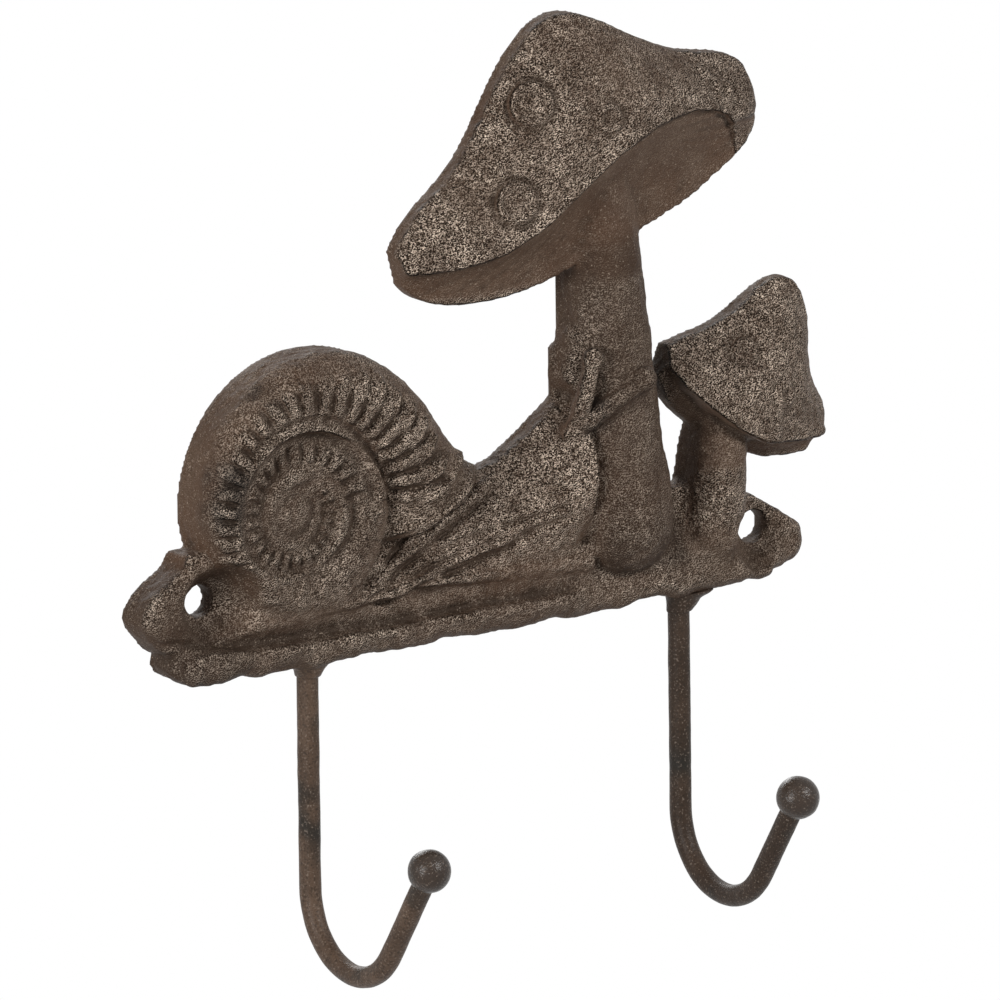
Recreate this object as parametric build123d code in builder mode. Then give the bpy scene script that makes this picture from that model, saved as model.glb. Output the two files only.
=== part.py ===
"""Cast-iron wall hook: a snail and two mushrooms on a strip of ground, with two welded rod hooks.

Millimetres. X runs to the right along the wall, Z is up and the front faces -Y.
The wall is the plane Y = 0 and the origin is the point midway between the two screw holes.
"""
import os
from math import cos, radians, sin, sqrt

from build123d import *

# Wall screws
hole_span = 151.0
hole_drop = 6.4
hole_diameter = 7.2
lug_thickness = 5.0
tail_lug_depth = 10.2
right_lug_depth = 7.0
lug_round = 2.0
dish_diameter = 11.5
dish_flare = 28.0

# Strip of ground
ground_left = -77.5
ground_right = 70.0
ground_base = -14.0
ground_top = -6.2
ground_depth = 15.0
ground_right_depth = 13.0
ground_round = 3.0
bank_left = 20.0
bank_right = 63.0
bank_front = 13.0
bank_back = 5.0
bank_base = -7.0
bank_height = 9.5
bank_sink = 1.5

# Rod hooks
rod_diameter = 5.0
rod_spacing = 101.4
rod_centre_x = 2.4
rod_from_wall = 7.0
rod_socket_depth = 7.0
left_rod_drop = 51.9
right_rod_drop = 49.9
rod_bend_radius = 17.0
rod_leg_angle = 34.0
left_leg_length = 27.6
right_leg_length = 25.2
ball_diameter = 9.8
ball_socket_depth = 4.2
seat_clearance = 0.05

# Large mushroom
cap_x = 26.7
cap_z = 84.4
cap_tilt = 14.4
cap_edge = 4.5
crown_reach = 0.66
crown_rise = 0.52
gill_reach = 0.28
gill_rise = 0.6
stem_top_x = 33.5
stem_top_z = 84.0
stem_top_width = 17.0
stem_top_depth = 11.8
stem_foot_x = 36.6
stem_foot_z = 4.0
stem_foot_width = 24.1
stem_foot_depth = 19.5
stem_roundness = 0.94
foot_rounding = 9.0
foot_flatness = 0.75

# Small mushroom
small_cap_x = 73.1
small_cap_z = 26.7
small_cap_tilt = -23.3
small_cap_edge = 4.0
small_stem_top_x = 66.4
small_stem_top_z = 30.0
small_stem_top_width = 10.0
small_stem_top_depth = 12.5
small_stem_foot_x = 61.9
small_stem_foot_z = -1.0
small_stem_foot_width = 16.8
small_stem_foot_depth = 14.5
small_foot_rounding = 7.5

# Raised spots on the caps
spot_height = 0.7
spot_sink = 1.6
spot_draft = 20.0
sight_distance = 100.0

# Snail shell
shell_x = -50.3
shell_z = 21.0
shell_reach = 43.0
shell_growth = 2.0
shell_turns = 2.5
cuts_per_half_turn = 6
shell_crest = 16.0
shell_flatness = 0.5
flat_side_depth = 2.0
flat_side_turn = 0.55
flat_side_span = 0.25
lip_angle = -16.0
lip_slant = 17.0
lip_slant_turns = 0.4
lip_flare = 9.0
lip_flare_turns = 0.1
lip_height = 1.5
lip_width = 4.4
whorl_overlap = 0.05
whorl_outer_fall = 0.85
whorl_inner_fall = 0.62
hub_radius = 6.5
hub_dip = 2.0
lip_place = 0.006
lip_run = 0.98
lip_shadow_place = 0.028
lip_shadow_run = 0.9
rib_first = 0.047
rib_count = 20
rib_step = 9.4
inner_rib_first = 0.75
inner_rib_count = 11
inner_rib_step = 20.0
rib_height = 0.8
inner_rib_height = 0.55
rib_width = 2.1
rib_depth = 2.5
rib_draft = 45.0
rib_start = 0.14
rib_run = 0.66

# Snail's tentacles, each swept along its route, and the web that joins them to the stem's side
tentacle_radius = 1.8
standing_route = [(20.5, -9.5, 27.0), (23.0, -13.6, 36.0), (25.4, -13.6, 45.0)]
lying_route = [(20.0, -10.5, 27.0), (28.5, -15.4, 34.2), (37.0, -16.6, 39.3)]
eye_radius = 2.7
eye_height = 2.0
eye_draft = 35.0
web_x = 25.0
web_z = 34.6
web_length = 20.0
web_width = 4.6
web_depth = 9.0
web_draft = 12.0

# Foot fringe
fringe_left = -70.0
fringe_right = 26.0
fringe_low = -4.6
fringe_top = 1.6
fringe_depth = 13.6
fringe_root = 2.0
fringe_waves = [0.0, 0.4, 2.1, 3.9, 2.4, 1.2, 0.4]
fringe_bulge = 0.4
fringe_round = 1.4

# Snail's body: shares of its depth where the sides end, and of its height where it is deepest
body_low_side = 0.4
body_top_side = 0.3
body_swell = 0.55

# Hollows in the back
back_wall = 5.0
shell_pocket_radius = 17.0
shell_pocket_depth = 6.5
pocket_draft = 20.0
stem_pocket_x = 35.0
stem_pocket_z = 40.0
stem_pocket_length = 36.0
stem_pocket_width = 7.0
stem_pocket_depth = 8.5
cutter_clearance = 1.0

# How far each rough form runs behind the wall before the back is cut flat
cap_behind = 1.0
bank_behind = 1.0
lug_behind = 1.2
stem_behind = 1.5
body_behind = 2.0
ground_behind = 2.5
shell_behind = 3.0
behind_step = 0.3

# Weld beads round the rods, from the casting down: drop, shift to the right, half length and half depth
left_bead_sections = [
    (0.0, 0.3, 4.9, 4.6),
    (1.3, 0.2, 3.8, 3.7),
    (3.6, 0.0, 2.9, 2.9),
]
right_bead_sections = [
    (0.0, 2.6, 6.2, 4.7),
    (1.8, 1.2, 4.2, 3.7),
    (4.8, 0.1, 2.9, 2.9),
]

left_hole = (-hole_span / 2, hole_drop / 2)
right_hole = (hole_span / 2, -hole_drop / 2)
rod_radius = rod_diameter / 2
left_rod_x = rod_centre_x - rod_spacing / 2
right_rod_x = rod_centre_x + rod_spacing / 2


def across(x, z, tilt=0.0):
    """A plane square to a line in the wall that climbs at this tilt: local x is forward, local y is up."""
    line = (-cos(radians(tilt)), 0, -sin(radians(tilt)))
    return Plane(origin=(x, 0, z), x_dir=(0, -1, 0), z_dir=line)


def along(x, z, tilt, distance):
    """The point this far along a tilted line from (x, z)."""
    return x + distance * cos(radians(tilt)), z + distance * sin(radians(tilt))


def between(first, last, share):
    """A value part of the way from the first to the last."""
    return first + share * (last - first)


# Caps, one section for each place along the rim: the heights of the top edge, the rim and the low edge,
# and how far the rim and the low edge come forward
large_cap_sections = [
    (-48.6, 1.8, -2.6, -6.4, 6.5, 4.5),
    (-45.6, 5.0, -3.2, -10.4, 9.5, 5.0),
    (-38.0, 9.6, -4.2, -14.6, 13.0, 6.2),
    (-27.0, 15.2, -4.4, -17.4, 16.0, 7.6),
    (-16.0, 25.4, -1.8, -18.0, 18.0, 8.6),
    (-6.0, 34.0, 2.4, -17.6, 18.6, 9.0),
    (6.0, 37.8, 6.4, -16.9, 18.4, 9.0),
    (18.0, 31.0, 8.2, -16.2, 17.2, 8.6),
    (29.0, 21.2, 6.8, -14.9, 15.0, 7.8),
    (39.0, 15.0, 1.6, -12.6, 12.4, 6.6),
    (47.0, 11.2, -3.0, -9.8, 9.4, 5.4),
    (51.0, 7.2, -1.5, -6.2, 6.8, 4.5),
]
small_cap_sections = [
    (-24.5, 6.5, 1.5, -1.0, 7.0, 4.0),
    (-20.5, 9.0, -1.6, -5.0, 11.5, 4.0),
    (-14.5, 13.2, -4.2, -7.8, 14.5, 4.0),
    (-7.0, 22.0, -6.6, -9.8, 16.2, 4.0),
    (1.0, 29.0, -7.4, -10.8, 16.4, 4.0),
    (6.0, 27.8, -6.6, -11.0, 15.6, 4.0),
    (12.0, 18.5, -5.0, -10.6, 13.8, 4.0),
    (18.0, 8.6, -3.2, -8.6, 11.0, 4.0),
    (22.6, 2.6, -1.6, -4.8, 7.0, 4.0),
]

# Spots on each cap: place along the rim, height above it and radius
large_cap_spots = [(-9.4, 24.0, 4.7), (-21.4, 5.5, 4.4), (6.4, 15.0, 3.1), (41.0, 6.0, 2.8)]
small_cap_spots = [(-8.5, 11.0, 2.8), (4.0, 4.0, 2.8)]

caps = []
for cap_sections, cap_spots, x_0, z_0, tilt, edge in (
    (large_cap_sections, large_cap_spots, cap_x, cap_z, cap_tilt, cap_edge),
    (small_cap_sections, small_cap_spots, small_cap_x, small_cap_z, small_cap_tilt, small_cap_edge),
):
    with BuildPart() as cap:
        for place, top, rim, low, reach, under in cap_sections:
            crown = (between(edge, reach, crown_reach), between(rim, top, crown_rise))
            gills = (between(under, reach, gill_reach), between(low, rim, gill_rise))
            with BuildSketch(across(*along(x_0, z_0, tilt, place), tilt)):
                with BuildLine():
                    Line((-cap_behind, low), (under, low))
                    ThreePointArc((under, low), gills, (reach, rim))
                    ThreePointArc((reach, rim), crown, (edge, top))
                    Line((edge, top), (-cap_behind, top))
                    Line((-cap_behind, top), (-cap_behind, low))
                make_face()
        loft()
        for place, height, spot_radius in cap_spots:
            spot_x, spot_z = along(*along(x_0, z_0, tilt, place), tilt + 90, height)
            sight = Axis((spot_x, -sight_distance, spot_z), (0, 1, 0))
            spot, outward = cap.part.shells()[0].find_intersection_points(sight)[0]
            with BuildSketch(Plane(origin=spot - outward * spot_sink, z_dir=outward)):
                Circle(spot_radius)
            extrude(amount=spot_sink + spot_height, taper=spot_draft)
    caps.append(cap.part)

# Stems: straight sides from the wall with a round front, thicker to the foot, which is rounded off.
# Each station is how far down the stem it is and how far into the rounding
stem_stations = [(0, 0), (0.25, 0), (0.5, 0), (0.75, 0), (1, 0), (1, 0.6), (1, 1)]
stems = []
large_stem_top = (stem_top_x, stem_top_z, stem_top_width, stem_top_depth)
large_stem_foot = (stem_foot_x, stem_foot_z, stem_foot_width, stem_foot_depth)
small_stem_top = (small_stem_top_x, small_stem_top_z, small_stem_top_width, small_stem_top_depth)
small_stem_foot = (small_stem_foot_x, small_stem_foot_z, small_stem_foot_width, small_stem_foot_depth)
for stem_top, stem_foot, rounding in (
    (large_stem_top, large_stem_foot, foot_rounding),
    (small_stem_top, small_stem_foot, small_foot_rounding),
):
    top_x, top_z, top_width, top_depth = stem_top
    foot_x, foot_z, foot_width, foot_depth = stem_foot
    with BuildPart() as stem:
        for share, turn_in in stem_stations:
            drawn_in = rounding * (1 - sqrt(1 - foot_flatness * turn_in ** 2))
            half = between(top_width, foot_width, share) / 2 - drawn_in
            depth = between(top_depth, foot_depth, share) - drawn_in
            side = depth - stem_roundness * half
            middle = between(top_x, foot_x, share)
            height = between(top_z, foot_z, share) - rounding * turn_in
            with BuildSketch(Plane(origin=(middle, 0, height), x_dir=(1, 0, 0), z_dir=(0, 0, -1))):
                with BuildLine():
                    Line((-half, -stem_behind), (half, -stem_behind))
                    Line((half, -stem_behind), (half, side))
                    ThreePointArc((half, side), (0, depth), (-half, side))
                    Line((-half, side), (-half, -stem_behind))
                make_face()
        loft()
    stems.append(stem.part)


def shell_edge(turn):
    """How far the shell reaches from its middle, this many turns in from the lip."""
    return shell_reach * shell_growth ** -turn


def whorl(turn):
    """The plane of a cut across the shell's tube from its inner edge outwards, its half width and crest."""
    slant = lip_slant * max(0.0, 1 - turn / lip_slant_turns)
    angle = lip_angle + 360 * turn
    inner = shell_edge(turn - slant / 360) * (1 / shell_growth - whorl_overlap)
    outer = shell_edge(turn + slant / 360) + lip_flare * max(0.0, 1 - turn / lip_flare_turns) ** 2
    outer -= flat_side_depth * max(0.0, 1 - ((turn - flat_side_turn) / flat_side_span) ** 2)
    inner_x, inner_z = along(shell_x, shell_z, angle - slant, inner)
    outer_x, outer_z = along(shell_x, shell_z, angle + slant, outer)
    span = (outer_x - inner_x, 0, outer_z - inner_z)
    half = sqrt(span[0] ** 2 + span[2] ** 2) / 2
    plane = Plane(origin=(inner_x, 0, inner_z), x_dir=span, z_dir=(span[2], 0, -span[0]))
    return plane, half, shell_crest - shell_flatness * turn


# Shell, wound in half turns from the lip to the middle
half_turns = []
for first in range(int(2 * shell_turns)):
    behind = shell_behind + first * behind_step
    with BuildPart() as half_turn:
        for cut in range(cuts_per_half_turn + 1):
            plane, half, crest = whorl((first + cut / cuts_per_half_turn) / 2)
            outer_level = crest - whorl_outer_fall * half
            inner_level = crest - whorl_inner_fall * half
            with BuildSketch(plane):
                with BuildLine():
                    Line((0, -behind), (2 * half, -behind))
                    Line((2 * half, -behind), (2 * half, outer_level))
                    ThreePointArc((2 * half, outer_level), (half, crest), (0, inner_level))
                    Line((0, inner_level), (0, -behind))
                make_face()
        loft()
    half_turns.append(half_turn.part)

# Lip and ribs: ridges over the tube, where the ribs run out before its outer side
ridges = [
    (lip_place, lip_height, lip_width, lip_run),
    (lip_shadow_place, lip_height / 2, lip_width / 2, lip_shadow_run),
]
for rib in range(rib_count):
    ridges.append((rib_first + rib * rib_step / 360, rib_height, rib_width, rib_run))
for rib in range(inner_rib_count):
    ridges.append((inner_rib_first + rib * inner_rib_step / 360, inner_rib_height, rib_width, rib_run))
ribs = []
for turn, lift, width, run in ridges:
    plane, half, crest = whorl(turn)
    fall = half * (whorl_outer_fall + whorl_inner_fall) / 2
    bow = (half ** 2 + fall ** 2) / (2 * fall)
    near = rib_start * half
    far = half + run * half
    near_level = crest + lift - bow + sqrt(bow ** 2 - (half - near) ** 2)
    far_level = crest + lift - bow + sqrt(bow ** 2 - (far - half) ** 2)
    with BuildPart() as rib:
        with BuildSketch(plane):
            with BuildLine():
                ThreePointArc((near, near_level), (half, crest + lift), (far, far_level))
                Line((far, far_level), (far, far_level - rib_depth))
                Line((far, far_level - rib_depth), (near, near_level - rib_depth))
                Line((near, near_level - rib_depth), (near, near_level))
            make_face()
        extrude(amount=width / 2, both=True, taper=rib_draft)
    ribs.append(rib.part)

with BuildPart() as shell:
    add(half_turns)
    with BuildSketch(Plane.XZ):
        with Locations((shell_x, shell_z)):
            Circle(hub_radius)
    extrude(amount=shell_crest - hub_dip)
    add(ribs)

# Snail's body from tail to neck, a section for each place: low edge, top edge and forward reach
body_sections = [
    (-84.0, -9.0, 6.0, 6.5),
    (-62.0, -9.5, 11.0, 9.0),
    (-40.0, -10.0, 14.0, 10.5),
    (-20.0, -10.0, 17.0, 11.5),
    (-5.0, -10.0, 20.0, 12.5),
    (6.0, -9.5, 22.8, 13.4),
    (14.0, -8.0, 28.0, 14.8),
    (20.0, -4.0, 32.4, 16.2),
    (25.0, 1.0, 36.0, 16.6),
]
with BuildPart() as body:
    for place, low, top, reach in body_sections:
        with BuildSketch(across(place, 0)):
            with BuildLine():
                Line((-body_behind, low), (body_low_side * reach, low))
                ThreePointArc((body_low_side * reach, low), (reach, between(low, top, body_swell)),
                              (body_top_side * reach, top))
                Line((body_top_side * reach, top), (-body_behind, top))
                Line((-body_behind, top), (-body_behind, low))
            make_face()
    loft(ruled=True)

# Tentacles with their eyes, one standing at the stem's side and one lying across it
with BuildPart() as head:
    with BuildSketch(Plane.XZ):
        with Locations((web_x, web_z)):
            SlotCenterToCenter(web_length, web_width, rotation=90)
    extrude(amount=web_depth, taper=web_draft)
    for route in (standing_route, lying_route):
        with BuildLine():
            stalk = Spline(route)
        with BuildSketch(Plane(origin=stalk @ 0, z_dir=stalk % 0)):
            Circle(tentacle_radius)
        sweep(path=stalk)
        with BuildSketch(Plane(origin=stalk @ 1, z_dir=(0, -1, 0))):
            Circle(eye_radius)
        extrude(amount=eye_height, taper=eye_draft)

# Foot fringe, wavy along its lower edge
with BuildPart() as fringe:
    for number, wave in enumerate(fringe_waves):
        low = fringe_low + wave
        place = between(fringe_left, fringe_right, number / (len(fringe_waves) - 1))
        low_front = (fringe_depth - fringe_round, low)
        lip = (fringe_depth, between(low, fringe_top, fringe_bulge))
        top_front = (fringe_depth - 2 * fringe_round, fringe_top)
        with BuildSketch(across(place, 0)):
            with BuildLine():
                Line((fringe_root, low), low_front)
                ThreePointArc(low_front, lip, top_front)
                Line(top_front, (fringe_root, fringe_top))
                Line((fringe_root, fringe_top), (fringe_root, low))
            make_face()
    loft(ruled=True)

# Strip of ground: a long rounded ridge with a bank behind the stems. Each end is drawn in by sections:
# the offset outwards, how far the base rises and the top falls, and the share of the depth that is left
left_end = [(-9.6, 3.8, 1.0, 0.53), (-8.0, 1.7, 0.5, 0.77), (-4.5, 0.3, 0.1, 0.95), (0.0, 0.0, 0.0, 1.0)]
right_end = [(0.0, 0.0, 0.0, 1.0), (6.0, 0.3, 1.2, 0.87), (12.0, 1.0, 2.8, 0.6), (16.5, 2.2, 3.6, 0.4)]
with BuildPart() as ground:
    for end_x, end_sections, end_depth in (
        (ground_left, left_end, ground_depth),
        (ground_right, right_end, ground_right_depth),
    ):
        for offset_x, rise, fall, share in end_sections:
            low = ground_base + rise
            top = ground_top - fall
            reach = share * end_depth
            edge = reach - ground_round
            with BuildSketch(across(end_x + offset_x, 0)):
                with BuildLine():
                    Line((-ground_behind, low), (edge, low))
                    ThreePointArc((edge, low), (reach, (low + top) / 2), (edge, top))
                    Line((edge, top), (-ground_behind, top))
                    Line((-ground_behind, top), (-ground_behind, low))
                make_face()
    loft(ruled=True)
    with BuildSketch(across(bank_left, 0)):
        with BuildLine():
            Polyline((-bank_behind, bank_base), (bank_front, ground_top - bank_sink),
                     (bank_back, bank_height), (-bank_behind, bank_height), close=True)
        make_face()
    extrude(amount=bank_left - bank_right)

# Lugs for the screws, at the snail's tail and past the small mushroom, measured from the hole:
# root, low edge, tip, top edge, shoulder and root again
tail_lug = [(9.5, -13.0), (-10.3, -10.85), (-18.4, -1.9), (-14.4, 5.6), (-5.0, 11.9), (9.5, 11.9)]
right_lug = [(-13.5, -10.4), (9.0, -9.9), (13.7, -5.2), (11.38, 0.06), (0.0, 7.7), (-13.5, 9.2)]
lugs = []
for hole, outline, depth in (
    (left_hole, tail_lug, tail_lug_depth),
    (right_hole, right_lug, right_lug_depth),
):
    low_root, low_edge, tip, top_edge, shoulder, top_root = outline
    with BuildPart() as lug:
        with BuildSketch(Plane(origin=(hole[0], lug_behind, hole[1]), x_dir=(1, 0, 0), z_dir=(0, -1, 0))):
            with BuildLine():
                Line(low_root, low_edge)
                ThreePointArc(low_edge, tip, top_edge)
                Polyline(top_edge, shoulder, top_root, low_root)
            make_face()
        extrude(amount=lug_behind + depth)
        chamfer(lug.faces().sort_by(Axis.Y)[0].edges(), lug_round)
    lugs.append(lug.part)

# Hollow behind the large cap, a wall's thickness inside it
with BuildPart() as cap_hollow:
    for place, top, rim, low, reach, under in large_cap_sections[2:-2]:
        with BuildSketch(across(*along(cap_x, cap_z, cap_tilt, place), cap_tilt)):
            with BuildLine():
                Polyline(
                    (-cutter_clearance, low + back_wall),
                    (reach - cap_edge - back_wall, between(low, rim, gill_rise)),
                    (reach - cap_edge - back_wall, rim + back_wall / 2),
                    (-cutter_clearance, top - back_wall),
                    close=True,
                )
            make_face()
    loft(ruled=True)

with BuildPart() as casting:
    for form in (body.part, ground.part, fringe.part, head.part, *lugs, *stems, *caps, shell.part):
        add(form)
    split(bisect_by=Plane.XZ, keep=Keep.TOP)
    # Screw holes, each in a dish that seats the screw's head
    for hole in (left_hole, right_hole):
        with BuildSketch(Plane.XZ.offset(lug_thickness)):
            with Locations(hole):
                Circle(dish_diameter / 2)
        extrude(amount=ground_depth, taper=-dish_flare, mode=Mode.SUBTRACT)
        with BuildSketch(Plane.XZ):
            with Locations(hole):
                Circle(hole_diameter / 2)
        extrude(amount=ground_depth, mode=Mode.SUBTRACT)
    # Hollows in the back
    add(cap_hollow.part, mode=Mode.SUBTRACT)
    with BuildSketch(Plane.XZ):
        with Locations((shell_x, shell_z)):
            Circle(shell_pocket_radius)
    extrude(amount=shell_pocket_depth, taper=pocket_draft, mode=Mode.SUBTRACT)
    with BuildSketch(Plane.XZ):
        with Locations((stem_pocket_x, stem_pocket_z)):
            SlotCenterToCenter(stem_pocket_length, stem_pocket_width, rotation=90)
    extrude(amount=stem_pocket_depth, taper=pocket_draft / 2, mode=Mode.SUBTRACT)
    # Sockets for the rods
    for rod_x in (left_rod_x, right_rod_x):
        with BuildSketch(Plane.XY.offset(ground_base)):
            with Locations((rod_x, -rod_from_wall)):
                Circle(rod_radius + seat_clearance)
        extrude(amount=rod_socket_depth, mode=Mode.SUBTRACT)

casting.part.label = "snail_mushroom_casting"
os.makedirs("parts", exist_ok=True)
export_step(casting.part, "parts/snail_mushroom_casting.step")

# Rods: a straight shank, a round bend and a leg that leans forward to the ball
for side, rod_x, rod_drop, leg_length, bead_sections in (
    ("left", left_rod_x, left_rod_drop, left_leg_length, left_bead_sections),
    ("right", right_rod_x, right_rod_drop, right_leg_length, right_bead_sections),
):
    with BuildPart() as rod:
        with BuildLine(across(rod_x, 0)):
            root = (rod_from_wall, ground_base + rod_socket_depth)
            shank = Line(root, (rod_from_wall, ground_base - rod_drop))
            bend = JernArc(shank @ 1, shank % 1, rod_bend_radius, 180 - rod_leg_angle)
            seat_length = leg_length - ball_diameter / 2 + ball_socket_depth
            leg = Line(bend @ 1, bend @ 1 + (bend % 1) * seat_length)
        with BuildSketch(Plane(origin=shank @ 0, z_dir=shank % 0)):
            Circle(rod_radius)
        sweep()
    rod.part.label = side + "_hook_rod"
    export_step(rod.part, "parts/" + side + "_hook_rod.step")

    # Ball with a blind socket that takes the end of the rod
    ball_centre = bend @ 1 + (bend % 1) * leg_length
    with BuildPart() as ball:
        with Locations(ball_centre):
            Sphere(ball_diameter / 2)
        with BuildSketch(Plane(origin=leg @ 1, z_dir=-(leg % 1))):
            Circle(rod_radius + seat_clearance)
        extrude(amount=ball_diameter, mode=Mode.SUBTRACT)
    ball.part.label = side + "_ball_tip"
    export_step(ball.part, "parts/" + side + "_ball_tip.step")

    # Weld bead that flares from the rod to the underside of the ground
    with BuildPart() as bead:
        for drop, shift, half_length, half_depth in bead_sections:
            with BuildSketch(Plane.XY.offset(ground_base - drop)):
                with Locations((rod_x + shift, -rod_from_wall)):
                    Ellipse(half_length, half_depth)
        loft(ruled=True)
        with BuildSketch(Plane.XY.offset(ground_base)):
            with Locations((rod_x, -rod_from_wall)):
                Circle(rod_radius + seat_clearance)
        extrude(amount=-rod_drop, mode=Mode.SUBTRACT)
    bead.part.label = side + "_weld_bead"
    export_step(bead.part, "parts/" + side + "_weld_bead.step")
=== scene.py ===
"""Dressed model of the double wall hook: a sand-cast iron relief with two welded rod hooks."""
from math import cos, radians, sin

import bmesh
import bpy
import numpy as np
from mathutils import Matrix, Vector


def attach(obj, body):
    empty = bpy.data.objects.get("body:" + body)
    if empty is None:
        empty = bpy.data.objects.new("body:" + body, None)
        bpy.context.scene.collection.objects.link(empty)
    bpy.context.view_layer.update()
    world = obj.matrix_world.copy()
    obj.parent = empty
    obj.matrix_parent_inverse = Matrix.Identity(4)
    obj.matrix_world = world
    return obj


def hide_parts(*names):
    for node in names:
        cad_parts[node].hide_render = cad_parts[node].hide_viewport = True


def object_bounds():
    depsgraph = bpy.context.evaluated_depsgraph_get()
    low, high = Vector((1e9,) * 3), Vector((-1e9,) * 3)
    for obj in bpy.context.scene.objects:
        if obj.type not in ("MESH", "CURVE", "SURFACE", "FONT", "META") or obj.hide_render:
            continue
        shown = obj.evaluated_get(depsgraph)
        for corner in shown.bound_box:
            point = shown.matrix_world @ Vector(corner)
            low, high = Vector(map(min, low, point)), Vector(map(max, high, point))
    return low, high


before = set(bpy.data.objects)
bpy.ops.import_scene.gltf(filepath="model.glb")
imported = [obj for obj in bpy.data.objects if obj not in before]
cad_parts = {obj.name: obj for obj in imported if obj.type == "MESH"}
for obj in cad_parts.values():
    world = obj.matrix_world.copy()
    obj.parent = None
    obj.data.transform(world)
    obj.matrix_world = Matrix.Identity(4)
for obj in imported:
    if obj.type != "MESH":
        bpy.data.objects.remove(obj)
cad_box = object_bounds()
scene = bpy.context.scene

# One millimetre in the scene's metres. Shapes and grain are given in millimetres
MM = 0.001

# Camera: the photograph's angle, with a long lens. Distances are in metres
CAMERA_AZIMUTH = -35.0
CAMERA_ELEVATION = 14.4
CAMERA_ROLL = -0.67
CAMERA_DISTANCE = 6.0
CAMERA_TARGET = Vector((3.83, -8.0, 14.9)) * MM
CAMERA_CLIP = (0.1, 50.0)
FIELD_WIDTH = 0.22306
SENSOR = 36.0

# Stage, in metres: the floor, and each lamp's name, place, size and power
FLOOR_HALF = 1.5
FLOOR_DROP = 0.012
FLOOR_COLOUR = (0.8, 0.8, 0.8, 1.0)
WHITE = (1.0, 1.0, 1.0, 1.0)
WORLD_STRENGTH = 0.20
LAMPS = (
    ("key", (0.45, -1.10, 0.75), 0.30, 12.5),
    ("left", (-1.2, -0.40, 0.3), 0.5, 13.0),
    ("back", (0.3, 1.3, 0.6), 0.8, 10.0),
)

# Casting's mesh: voxel, triangles, and rounds of softening
VOXEL = 0.45
CASTING_TRIANGLES = 185000
SOFTENING_PULL = 0.5
CASTING_SOFTENING = 4
PLACE_SOFTENING = 60
WHORL_SOFTENING = 110
EDGE_SOFTENING = 60

# Corners filled as in a sand casting: rounds, and how deep a hollow starts to fill and fills at most
FILLET_ROUNDS = 3
FILLET_START = 0.06
FILLET_MOST = 0.5
FILLET_ON_SHELL = 0.2
HOLLOW_ROUNDS = 14
HOLLOW_FULL = 0.5

# Lumps all over the casting: size, depth and seed
LUMPS = ((8.0, 0.30, 1), (3.6, 0.20, 2), (1.7, 0.14, 3), (1.0, 0.09, 4))

# Shell: a spiral that halves its reach each turn, from the lip inwards, and its ribs
SHELL_X = -50.3
SHELL_Z = 21.0
SHELL_REACH = 43.0
LIP_ANGLE = -16.0
RIB_FIRST = 0.047
RIB_STEP = 9.4
RIB_DEPTH = 0.95

# Inner whorls: a spiral of their own, with shorter ribs
WHORL_X = -55.6
WHORL_Z = 21.9
WHORL_REACH = 22.6
WHORL_RATIO = 0.57
WHORL_RIB_STEP = 15.0
WHORL_RIB_DEPTH = 0.9
SPIRAL_CORE = 0.5

# Places softened more than the rest: along the wall, forward, up and radius
SOFT_PLACES = [
    (25, 9, 46, 5), (24, 8, 38, 4), (-72, 10, 4, 8), (-84, 9, 3, 6), (80, 8, -3, 6), (68, 9, -6, 5),
    (-6, 14, 10, 4), (70, 12, 94.5, 4), (75, 10, 95, 4), (-68, 12, -5, 4), (-63, 12, -5, 4),
    (-58, 12, -5, 4), (-53, 12, -4, 4), (-47, 13, -4, 4), (6, 14, -3, 4), (14, 13, -3, 4),
]

# Filler for the gap between the snail's foot and the ground: its two corners
FILLER = ((-70.0, -11.4, -8.0), (21.0, -0.4, -3.0))

# Tail lug: how far its left edge stands in from the CAD's, by height
TAIL_TRIM = [
    (-13.0, 0.8), (-9.6, 1.0), (-4.0, 2.3), (1.6, 0.4), (7.2, 1.8), (12.9, 3.2), (18.0, 3.0),
]

# Snail's tentacles: the two ends of each
TENTACLES = [
    [(22.6, -13.4, 34.5), (25.4, -14.2, 45.0)],
    [(24.5, -14.4, 31.0), (37.0, -17.4, 39.3)],
]

# Caps' spots: middle and tilt of each cap's rim, then each spot's place along it, height above it,
# radius and depth
CAP_SPOTS = [
    (26.7, 84.4, 14.4, [
        (-9.4, 24.0, 4.7, 1.25), (-21.4, 5.5, 4.4, 1.3), (6.4, 15.0, 3.1, 0.9), (41.0, 6.0, 2.8, 0.8),
    ]),
    (73.1, 26.7, -23.3, [(-8.5, 11.0, 2.8, 0.9), (4.0, 4.0, 2.8, 0.7)]),
]

# Lines on the casting's front, as points along the wall and up it
LARGE_RIM = [
    (-19.7, 69.8), (-9.1, 70.9), (1.6, 73.4), (11.6, 78.7), (20.3, 85.2), (30.9, 92.1), (42.1, 96.8),
    (53.1, 98.2), (59.9, 97.4), (64.5, 95.2), (67.5, 92.2), (70.0, 88.0), (71.0, 84.0),
]
SMALL_RIM = [
    (51.2, 37.8), (53.6, 33.3), (58.1, 28.6), (64.1, 23.4), (71.1, 19.5), (76.0, 18.3), (82.1, 17.4),
    (93.2, 16.3),
]
BODY_LINES = [
    [(-30.8, 5.3), (-24.1, 10.9), (-13.5, 18.3), (-2.9, 23.9)],
    [(-35.4, 0.1), (-24.8, 5.2), (-11.5, 12.1), (1.1, 18.0)],
    [(-30.8, -2.0), (-18.9, 1.2), (1.0, 5.9), (9.0, 8.5)],
]
GROUND_LINE = [(-90.0, -3.7), (-64.7, -6.0), (-38.8, -6.4), (1.0, -6.8), (22.0, -7.0)]

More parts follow.
